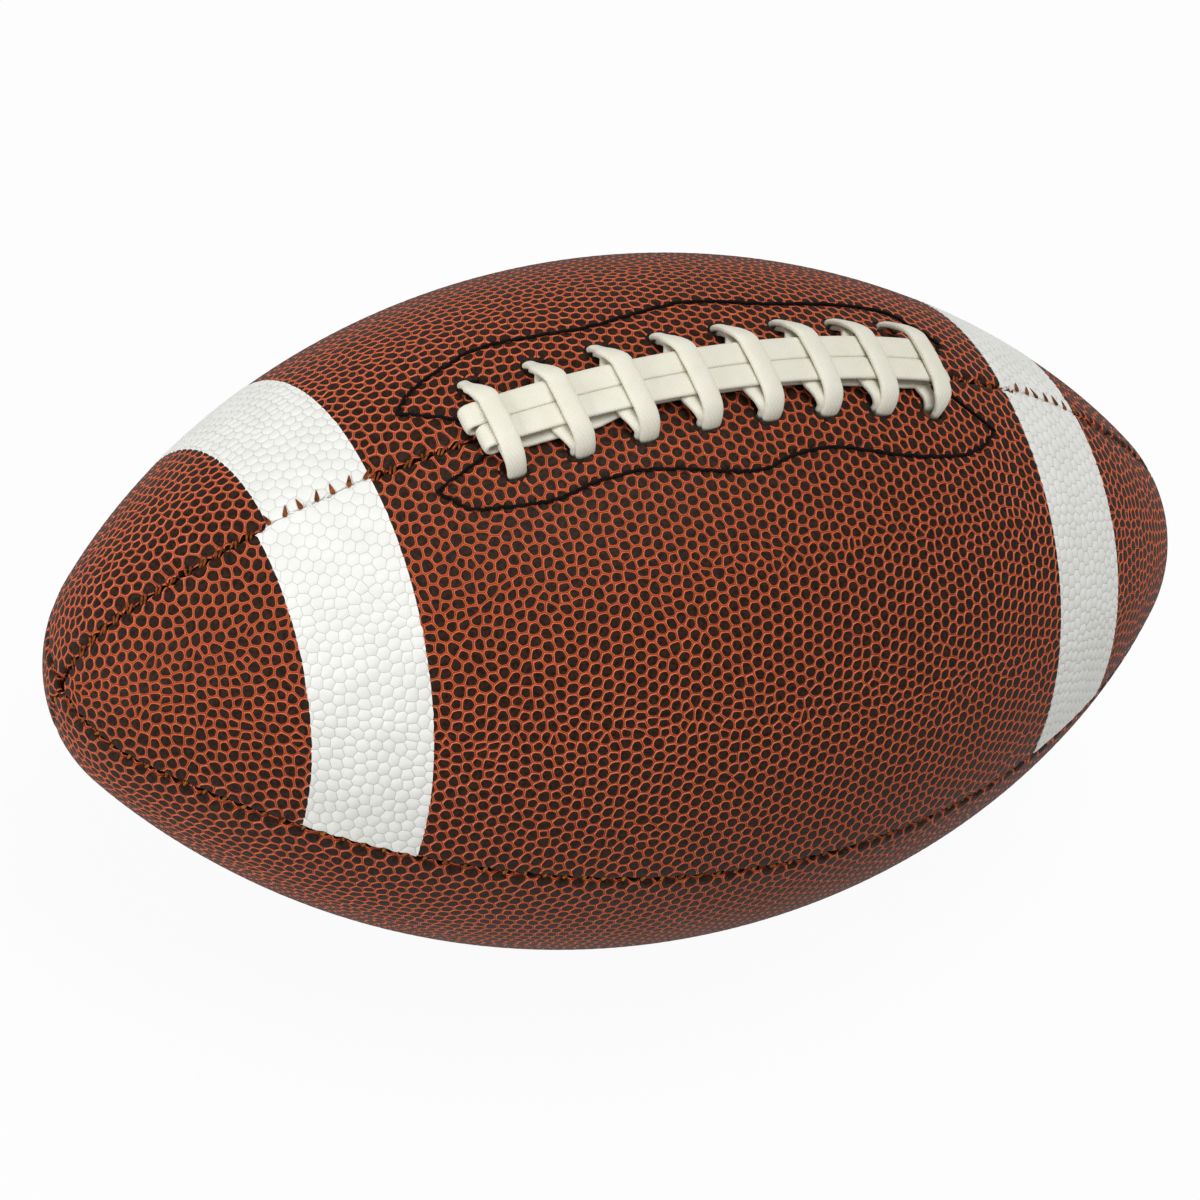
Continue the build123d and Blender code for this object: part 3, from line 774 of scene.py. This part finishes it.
def inner_wall(middle, level):
    """The inside of a panel, as a coarse grid bent round its seam edges."""
    wall, share, side = flat_strip("inside", *WALL_GRID)
    along = share * (TIP_REACH - 1.2 * TIP_OPENING)
    radius = outline(along)[1]
    half = HALF_PANEL + np.minimum(1.6 * SEAM_ROW / radius, SEAM_EDGE_LIMIT * 0.8)
    turn = half * np.sin(side * pi / 2)
    place_points(wall, form(along, turn + middle, np.full(len(along), -COVER_WALL), middle, level, no_holes))
    return wall


def round_tops(skin):
    """Rounds off the corners of the pebble tops, which are the selected faces."""
    points = mesh_points(skin)
    rounded = points.copy()
    for face in skin.data.polygons:
        if face.select:
            ring = np.array(face.vertices)
            beside = points[np.roll(ring, 1)] + points[np.roll(ring, -1)]
            rounded[ring] = (1 - 2 * TOP_CORNER_PULL) * points[ring] + TOP_CORNER_PULL * beside
    place_points(skin, rounded)


def emboss(skin):
    """Raises every cell of a skin to a pebble: a sloping wall and a flat top with rounded corners."""
    activate(skin)
    mode("EDIT")
    bpy.ops.mesh.select_all(action="SELECT")
    bpy.ops.mesh.inset(thickness=PEBBLE_WALL, depth=PEBBLE_RISE, use_individual=True)
    mode("OBJECT")
    round_tops(skin)
    mode("EDIT")
    bpy.ops.mesh.poke(offset=PEBBLE_CROWN)
    mode("OBJECT")


def cover_panel(name, middle, level, holes, line, stripes, seed):
    """The skin of one panel: pebbles embossed on it, thinner under the stripes, and bent over the seams."""
    rng = np.random.default_rng(seed)
    along, angle, rings = pebble_cells(middle, rng)
    points, outward, _, _ = surface(along, angle)
    skin = mesh_piece(name, points + outward * PEBBLE_VALLEY, rings)
    emboss(skin)
    along, angle, height = locate(mesh_points(skin))
    # Relief is 1 on the raised pebbles and also on the edges rolled into the lace and valve holes, which take
    # the dark top colour as painted shade inside the holes.
    raised = np.arange(len(height)) >= len(points)
    cut = np.min([hole[0] for hole in holes(along, outline(along)[1] * np.sin(angle), angle)], 0, initial=1.0)
    paint(skin, "relief", (raised | (cut < 2 * HOLE_ROLL)) * 1.0)
    height = np.where(raised, np.maximum(height, -2 * PEBBLE_CROWN), PEBBLE_VALLEY)
    spots = surface(along, angle)[0]
    for start, end in stripes.values():
        printed = (past_edge(spots, start) > 0) & (past_edge(spots, end) < 0)
        height = np.where(printed, height * STRIPE_RELIEF, height)
    if level > 0:
        height = height - thread_groove(along, angle, line)
    place_points(skin, form(along, angle, height, middle, level, holes))
    return skin


def past_edge(points, edge):
    """How far along X points lie past an edge of a stripe."""
    place, lean_y, lean_z = edge
    return points[:, 0] - place - lean_y * points[:, 1] - lean_z * points[:, 2]


def close_panel(skin, middle, level):
    """Joins a panel's skin to its inside along the turned-in edges."""
    wall = inner_wall(middle, level)
    paint(wall, "relief", np.zeros(len(wall.data.vertices)))
    activate(skin)
    wall.select_set(True)
    bpy.ops.object.join()
    mode("EDIT")
    bpy.ops.mesh.select_mode(type="EDGE")
    bpy.ops.mesh.select_all(action="DESELECT")
    bpy.ops.mesh.select_non_manifold(
        extend=False, use_wire=False, use_multi_face=False, use_non_contiguous=False, use_verts=False
    )
    bpy.ops.mesh.bridge_edge_loops()
    bpy.ops.mesh.select_all(action="SELECT")
    bpy.ops.mesh.normals_make_consistent(inside=False)
    mode("OBJECT")


def stripe_film(skin, name, start, end):
    """The white film over one end of a lacing panel: the skin between two planes, with a thickness."""
    film = skin.copy()
    film.data = skin.data.copy()
    film.name = name
    add_to_scene(film)
    activate(film)
    mode("EDIT")
    for (place, lean_y, lean_z), heading in ((start, 1), (end, -1)):
        facing = (heading, -heading * lean_y, -heading * lean_z)
        bpy.ops.mesh.select_all(action="SELECT")
        bpy.ops.mesh.bisect(plane_co=(place, 0, 0), plane_no=facing, clear_inner=True)
    mode("OBJECT")
    apply_modifier(film, "SOLIDIFY", thickness=STRIPE_FILM, offset=1.0, use_even_offset=False)
    return film


def facing_line(side, step):
    """The stitch line of one facing: the wave between its points, and straight stitches at both ends."""
    wave = FACING_WAVES[side]
    left_end, right_end = FACING_ENDS[side]
    runs = [spline(places, step) for places in ([left_end, wave[0]], wave, [wave[-1], right_end])]
    return np.concatenate([runs[0][:-1], runs[1], runs[2][1:]]) + (LACE_SHIFT, 0)


for side_name, side in (("front", -1), ("rear", 1)):
    middle = side * HALF_PANEL
    holes = rear_holes if side > 0 else lace_holes
    stripes = STRIPES[side_name]
    line = facing_line(side, FACING_FINE)
    seed = COVER_SEED["lacing"] + side
    panel = cover_panel(f"cover_lacing_{side_name}", middle, 1, holes, line, stripes, seed)
    for end_name, (start, end) in stripes.items():
        film = stripe_film(panel, f"film_{side_name}_{end_name}", start, end)
        dress(film, STRIPE, "stripe_white", f"stripe_{side_name}_{end_name}")
    close_panel(panel, middle, 1)
    dress(panel, COVER, "cover", f"lacing_panel_{side_name}")
    lower_middle = side * 3 * HALF_PANEL
    seed = COVER_SEED["lower"] + side
    lower = cover_panel(f"cover_lower_{side_name}", lower_middle, -1, no_holes, None, {}, seed)
    close_panel(lower, lower_middle, -1)
    dress(lower, COVER, "cover", f"lower_panel_{side_name}")


# Sewing


def stitch_bead(length, radius, taper):
    """One stitch: a short round thread along X, rounded at both ends, tapered to its far end if need be."""
    bpy.ops.object.select_all(action="DESELECT")
    bpy.ops.mesh.primitive_uv_sphere_add(segments=8, ring_count=6, radius=1, rotation=(0, pi / 2, 0))
    bpy.ops.object.transform_apply(location=False, rotation=True, scale=False)
    bead = bpy.context.object
    points = mesh_points(bead)
    faces = [tuple(face.vertices) for face in bead.data.polygons]
    bpy.data.objects.remove(bead)
    share = points[:, :1]
    full = np.sqrt(np.maximum(1 - share**4, 0.0)) / np.sqrt(np.maximum(1 - share**2, 1e-9))
    thick = radius * np.minimum(full, 2.0) * (1 - taper * (share + 1) / 2)
    return np.concatenate([share * length / 2, points[:, 1:] * thick], 1), faces


def sew(name, stitch, frames):
    """Copies of one stitch at frames of place, lengthwise, crosswise and outward directions."""
    points, faces = stitch
    placed = []
    all_faces = []
    for place, lengthwise, crosswise, outward in frames:
        start = len(placed) * len(points)
        turned = points[:, :1] * lengthwise + points[:, 1:2] * crosswise + points[:, 2:] * outward
        placed.append(place + turned)
        all_faces += [tuple(corner + start for corner in face) for face in faces]
    return mesh_piece(name, np.concatenate(placed), all_faces)


def facing_stitches(side, rng):
    """Frames of the stitches along a facing line."""
    line = facing_line(side, FACING_STITCH)
    x, out = (line[:-1] + line[1:]).T / 2
    heading = np.diff(line, axis=0)
    along = along_at(x)
    angle = np.arcsin(out / outline(along)[1])
    points, outward, lengthwise, crosswise = surface(along, angle)
    frames = []
    for k in range(len(points)):
        yaw = np.arctan2(heading[k, 1], heading[k, 0]) + rng.normal(0, FACING_YAW)
        ahead = lengthwise[k] * cos(yaw) + crosswise[k] * sin(yaw)
        aside = np.cross(outward[k], ahead)
        place = points[k] + aside * rng.normal(0, FACING_WANDER) - outward[k] * FACING_SUNK
        frames.append((place, ahead, aside, outward[k]))
    return frames


def seam_stitches(angle, first, last, pitch, aside, slant, sunk, rng):
    """Frames of the stitches across one seam, between two places along it."""
    along = np.arange(np.ceil(first / pitch), np.floor(last / pitch) + 1) * pitch + aside
    points, outward, lengthwise, crosswise = surface(along, np.full(len(along), angle))
    frames = []
    for k in range(len(along)):
        yaw = slant + rng.normal(0, STITCH_YAW)
        ahead = crosswise[k] * cos(yaw) + lengthwise[k] * sin(yaw)
        low = sunk + rng.uniform(*STITCH_UNEVEN)
        frames.append((points[k] - outward[k] * low, ahead, np.cross(outward[k], ahead), outward[k]))
    return frames


stitch_rng = np.random.default_rng(SEWING_SEED)
facing_bead = stitch_bead(FACING_STITCH * FACING_OVERLAP, FACING_THREAD, 0.0)
for side_name, side in (("front", -1), ("rear", 1)):
    stitching = sew(f"facing_sewing_{side_name}", facing_bead, facing_stitches(side, stitch_rng))
    dress(stitching, FACING_BLACK, "facing_thread", f"facing_stitch_{side_name}", facets=SOFT_ANGLE)

SEAM_STOP = TIP_REACH - SEAM_END
LACE_STOP = LACED_HALF + LACE_END
PLAIN_SEAMS = {"front": -pi / 2, "rear": pi / 2, "bottom": pi}
TOP_SEAMS = {
    "top_left": (-SEAM_STOP, LACE_SHIFT - LACE_STOP),
    "top_right": (LACE_SHIFT + LACE_STOP, SEAM_STOP),
}


def on_print(place):
    """Whether a stitch of the laced seam lies between the printed stripes."""
    return STRIPE_SEAM[0] < abs(place[0]) < STRIPE_SEAM[1]


def top_stitches(first, last, rng):
    """Frames of the bare stitches and of the drops along one end of the laced seam."""
    bare = []
    for aside, slant in TOP_SEAM_ROWS:
        bare += seam_stitches(0.0, first, last, TOP_STITCH_PITCH, aside, slant, STITCH_SUNK, rng)
    drops = []
    row = seam_stitches(0.0, first, last, TOP_STITCH_PITCH, DROP_ASIDE, DROP_SLANT, DROP_SUNK, rng)
    for place, lengthwise, crosswise, outward in row:
        if on_print(place):
            drops.append((place + lengthwise * DROP_OUT, lengthwise, crosswise, outward * DROP_FLAT))
    return [frame for frame in bare if not on_print(frame[0])], drops


seam_bead = stitch_bead(*SEAM_BEAD)
for seam, angle in PLAIN_SEAMS.items():
    frames = seam_stitches(
        angle, -SEAM_STOP, SEAM_STOP, STITCH_PITCH, 0.0, SEAM_SLANT, STITCH_SUNK, stitch_rng
    )
    thread = sew(f"seam_sewing_{seam}", seam_bead, frames)
    dress(thread, SEAM_TAN, "seam_thread", f"seam_thread_{seam}", facets=SOFT_ANGLE)
top_seam_bead = stitch_bead(*TOP_SEAM_BEAD)
drop_bead = stitch_bead(*DROP_BEAD)
for seam, (first, last) in TOP_SEAMS.items():
    bare, shown = top_stitches(first, last, stitch_rng)
    thread = sew(f"seam_sewing_{seam}", top_seam_bead, bare)
    drops = sew("drops", drop_bead, shown)
    activate(thread)
    drops.select_set(True)
    bpy.ops.object.join()
    dress(thread, TOP_SEAM_RUST, "seam_thread", f"seam_thread_{seam}", facets=SOFT_ANGLE)


# Lacing


def lace_points(places):
    """Points over the slit: along the belly, out sideways, and up from the cover at its crest."""
    along, out, up = places.T
    turn = (along + LACE_SHIFT) / BELLY_RADIUS
    reach = BELLY_RADIUS + up
    return np.stack([reach * np.sin(turn), out, reach * np.cos(turn) - BELLY_DROP], -1)


def lay_lace(places, widths, lengthwise):
    """A length of lace along places: a strip wrapped to a flat, round-edged section, closed at its ends."""
    strip, share, side = flat_strip("lace", len(places) - 1, LACE_SECTION)
    station = np.round((share + 1) / 2 * (len(places) - 1)).astype(int)
    points = lace_points(places)
    ahead = np.gradient(points, axis=0)
    ahead /= np.linalg.norm(ahead, axis=1, keepdims=True)
    turn = (places[:, 0] + LACE_SHIFT) / BELLY_RADIUS
    flat = np.zeros_like(turn)
    across = np.stack([np.cos(turn), flat, -np.sin(turn)], -1)
    if lengthwise:
        across = np.stack([flat, flat + 1, flat], -1)
    across = across - ahead * (across * ahead).sum(1, keepdims=True)
    across /= np.linalg.norm(across, axis=1, keepdims=True)
    ups = np.cross(across, ahead)
    wide, high = np.cos(side * pi), np.sin(side * pi)
    wide = np.sign(wide) * np.abs(wide) ** (2 / LACE_ROUND)
    high = np.sign(high) * np.abs(high) ** (2 / LACE_ROUND)
    crown = 0.0 if lengthwise else LACE_CROWN
    laid = points[station] + across[station] * (wide * widths[station] / 2)[:, None]
    place_points(strip, laid + ups[station] * (high * LACE_THICK / 2 - crown * wide**2)[:, None])
    # The tuck value rises where the lace dips below the cover into its holes and darkens it there: partly
    # soil, partly painted shade.
    clear = places[:, 2] + places[:, 1] ** 2 / (2 * RADIUS)
    paint(strip, "tuck", np.clip((TUCK_START - clear[station]) / TUCK_FADE, 0, 1))
    activate(strip)
    mode("EDIT")
    bpy.ops.mesh.select_all(action="SELECT")
    bpy.ops.mesh.remove_doubles(threshold=1e-6)
    bpy.ops.mesh.select_all(action="SELECT")
    bpy.ops.mesh.fill_holes(sides=0)
    mode("OBJECT")
    return strip


def crossing(along, path, slips):
    """Places of a strand across the slit, slipping along it at the front, in the middle and at the rear."""
    line = spline(path, LACE_SPACING)
    front, over, rear = slips
    slip = np.interp(line[:, 0], SLIP_PLACES, (front, over, over, rear))
    return np.stack([along + slip, line[:, 0], line[:, 1]], -1)


def lace_pass(path, slips, pairs, pinch):
    """One pass of the lace over pairs of holes, with its strands under the cover, as places and widths."""
    places = []
    for pair in pairs:
        front, over, rear = slips if pair else (0.0, 0.0, slips[2])
        along = (pair - (LACE_PAIRS - 1) / 2) * LACE_PITCH
        strand = crossing(along, path, (front, over, rear + REAR_FAN * pair))
        if places:
            places.append(np.linspace(places[-1][-1], strand[0], 10)[1:-1])
        places.append(strand)
    places = np.concatenate(places)
    in_front = places[:, 1] < 0
    start, fade, narrow = [np.where(in_front, *ends) for ends in (PINCH_START, PINCH_FADE, pinch)]
    low = np.clip((start - places[:, 2]) / fade, 0, 1)
    last = (places[:, 0] > LACED_HALF - LACE_PITCH / 2) & in_front
    return places, STRAP_WIDTH * (1 - np.where(last, END_PINCH, narrow) * low)


def strap_pass():
    """The straps over the runs, up from each front hole and down through the rear one."""
    front = [
        (-0.0082, -STRAP_DEPTH), (-0.0098, -STRAP_DEPTH + 0.0009), (-0.0105, -0.0040), (-0.0106, -0.0015),
        (-0.0102, 0.0010), (-0.0086, 0.0034), (-0.0058, STRAP - 0.0002),
    ]
    rear = [
        (0.0060, STRAP - 0.0001), (0.0086, 0.0036), (0.0110, 0.0016), (0.0128, -0.0001), (0.0136, -0.0015),
        (0.0130, -0.0031), (0.0110, -0.0044), (0.0098, -STRAP_DEPTH + 0.0009), (0.0082, -STRAP_DEPTH),
    ]
    middle = [(-0.003, STRAP + 0.00015), (0.0, STRAP + 0.0003), (0.003, STRAP + 0.00015)]
    return lace_pass([*front, *middle, *rear], STRAP_SLIPS, range(LACE_PAIRS), STRAP_PINCH)


def bar_pass():
    """The bars of the first pass, under the upper runs, which show beside their straps."""
    front = [
        (-0.0072, -BAR_DEPTH), (-0.0086, -BAR_DEPTH + 0.0008), (-0.0093, -0.0034), (-0.0097, -0.0012),
        (-0.0094, 0.0008), (-0.0082, 0.0019), (-0.0058, BAR),
    ]
    rear = [
        (0.0058, BAR), (0.0090, 0.0014), (0.0112, -0.0001), (0.0122, -0.0015),
        (0.0115, -0.0030), (0.0094, -BAR_DEPTH + 0.0008), (0.0074, -BAR_DEPTH),
    ]
    pairs = range(LACE_PAIRS - 2, -1, -1)
    return lace_pass([*front, (0.0, BAR), *rear], BAR_SLIPS, pairs, BAR_PINCH)


def long_run(side):
    """A lower run, its fold round the first bar, and the upper run back over it to the last strap."""
    fold = (HIGH_RUN - LOW_RUN) / 2
    left = FOLD_START[side]
    right = LACED_HALF + STRAP_WIDTH / 2 + RUN_OVERHANG
    out = side * RUN_CENTRE
    low = np.linspace(right - LOW_END, left, RUN_STEPS)
    drift = np.interp(low, *np.transpose(LOW_DRIFT_SHARE))
    ease = np.clip((low - left) / LOW_EASE, 0, 1)
    bulge = (LOW_SHIFT + LOW_DRIFT * drift * (side < 0)) * ease**2 * (3 - 2 * ease)
    turn = np.linspace(0, pi, FOLD_STEPS)[1:-1]
    high = np.linspace(left, right, RUN_STEPS)
    dip = np.clip((high - right + RUN_DIP_LENGTH) / RUN_DIP_LENGTH, 0, 1) ** 2
    places = np.concatenate([
        np.stack([low, out + bulge, np.full_like(low, LOW_RUN)], -1),
        np.stack([left - fold * np.sin(turn), 0 * turn + out, LOW_RUN + fold * (1 - np.cos(turn))], -1),
        np.stack([high, 0 * high + out, HIGH_RUN - RUN_DIP * dip], -1),
    ])
    near_fold = np.exp(-(((places[:, 0] - left + fold) / FOLD_PINCH_LENGTH) ** 2))
    near_end = np.concatenate([0 * low, 0 * turn, dip])
    return places, LACE_WIDTH * (1 - FOLD_PINCH * near_fold - RUN_DIP_PINCH * near_end)


def run_turn(side):
    """The end of a lower run, turned aside into the last hole."""
    path = [
        (0.0004, LOW_RUN), (0.0040, LOW_RUN), (0.0074, LOW_RUN - 0.0003), (0.0088, -0.0012),
        (0.0089, -0.0034), (0.0083, -BAR_DEPTH + 0.0008), (0.0070, -BAR_DEPTH),
    ]
    places = crossing(LACED_HALF, [(side * out, up) for out, up in path], TURN_SLIPS)
    return places, STRAP_WIDTH * np.interp(np.abs(places[:, 1]), (0.004, 0.009), (1.0, 0.6))


def lacing():
    """All the lace in one piece."""
    strips = [lay_lace(*long_run(side), True) for side in (-1, 1)]
    strips += [lay_lace(*lay, False) for lay in (bar_pass(), strap_pass(), run_turn(-1), run_turn(1))]
    activate(strips[0])
    for strip in strips[1:]:
        strip.select_set(True)
    bpy.ops.object.join()
    piece = strips[0]
    piece.name = "ivory_lacing"
    mode("EDIT")
    bpy.ops.mesh.select_all(action="SELECT")
    bpy.ops.mesh.normals_make_consistent(inside=False)
    mode("OBJECT")
    return piece


dress(lacing(), IVORY, "lace_ivory", "lace", facets=SOFT_ANGLE)

# Inside pieces keep their CAD shape
INSIDE = {
    LINING: ("lining_lacing_front", "lining_lacing_rear", "lining_lower_front", "lining_lower_rear"),
    BACKING: ("lace_facing_front", "lace_facing_rear", "lace_tongue", "valve_patch"),
    BLADDER: ("bladder",),
    VALVE: ("valve_housing", "valve_plug"),
}
for material, names in INSIDE.items():
    for name in names:
        nodes[name].data.materials.clear()
        nodes[name].data.materials.append(material)

# Camera: as in the photograph, a long lens from above the front left, tilted
AZIMUTH, ELEVATION, ROLL = radians(-42.972), radians(45.915), radians(25.628)
DISTANCE = 1.7353
FOCAL_SHARE = 8448.8 / 1200
SIDE_AIM = 0.0040
SENSOR = 36.0

back = Vector((sin(AZIMUTH) * cos(ELEVATION), -cos(AZIMUTH) * cos(ELEVATION), sin(ELEVATION)))
level_right = Vector((cos(AZIMUTH), sin(AZIMUTH), 0))
level_up = back.cross(level_right)
right = level_right * cos(ROLL) + level_up * sin(ROLL)
up = level_up * cos(ROLL) - level_right * sin(ROLL)
place = back * DISTANCE - right * SIDE_AIM
camera_data = bpy.data.cameras.new("camera")
camera_data.lens = FOCAL_SHARE * SENSOR
camera_data.sensor_width = SENSOR
camera = bpy.data.objects.new("camera", camera_data)
camera.matrix_world = Matrix((
    (right.x, up.x, back.x, place.x),
    (right.y, up.y, back.y, place.y),
    (right.z, up.z, back.z, place.z),
    (0, 0, 0, 1),
))
add_to_scene(camera)
bpy.context.scene.camera = camera

# Stage: a white floor that keeps the ball's shadow, and soft studio light
FLOOR_SIZE = 8.0
FLOOR_GLOW = 0.95
FLOOR_GREY = 0.7
SKY_STRENGTH = 0.36
# The direction, distance, size and power of each lamp
LAMPS = {
    "key": ((-1.0, -0.15, 0.9), 1.6, 0.45, 10.6),
    "fill": ((0.3, 0.6, 0.75), 2.2, 1.5, 33),
}


def floor_white():
    """A matt floor that looks white itself and in reflections, and still takes the shadow."""
    material, made, links, shader = new_material("floor_white")
    shader.inputs["Base Color"].default_value = (*grey(FLOOR_GREY), 1)
    shader.inputs["Roughness"].default_value = 0.9
    shader.inputs["Specular IOR Level"].default_value = 0.0
    glow = made.new("ShaderNodeEmission")
    path = made.new("ShaderNodeLightPath")
    seen = made.new("ShaderNodeMath")
    seen.operation = "MAXIMUM"
    links.new(path.outputs["Is Camera Ray"], seen.inputs[0])
    links.new(path.outputs["Is Glossy Ray"], seen.inputs[1])
    share = made.new("ShaderNodeMath")
    share.operation = "MULTIPLY"
    share.inputs[1].default_value = FLOOR_GLOW
    links.new(seen.outputs["Value"], share.inputs[0])
    blend = made.new("ShaderNodeMixShader")
    links.new(share.outputs["Value"], blend.inputs["Fac"])
    links.new(shader.outputs["BSDF"], blend.inputs[1])
    links.new(glow.outputs["Emission"], blend.inputs[2])
    links.new(blend.outputs["Shader"], made["Material Output"].inputs["Surface"])
    return material


bpy.ops.object.select_all(action="DESELECT")
bpy.ops.mesh.primitive_plane_add(size=FLOOR_SIZE, location=(0, 0, -RADIUS))
floor = bpy.context.object
floor.name = "floor"
floor.data.materials.append(floor_white())

world = bpy.data.worlds.new("studio")
bpy.context.scene.world = world
world.use_nodes = True
world.node_tree.nodes["Background"].inputs["Color"].default_value = (1, 1, 1, 1)
world.node_tree.nodes["Background"].inputs["Strength"].default_value = SKY_STRENGTH


def soft_lamp(name, aim, distance, size, power):
    """A square soft box in a direction given in the camera's right, up and back."""
    lamp = bpy.data.lights.new(name, "AREA")
    lamp.size = size
    lamp.energy = power
    item = bpy.data.objects.new(name, lamp)
    way = (right * aim[0] + up * aim[1] + back * aim[2]).normalized()
    item.location = way * distance
    item.rotation_euler = way.to_track_quat("Z", "Y").to_euler()
    add_to_scene(item)


for name, settings in LAMPS.items():
    soft_lamp(name, *settings)

bpy.context.scene.view_settings.view_transform = "Standard"
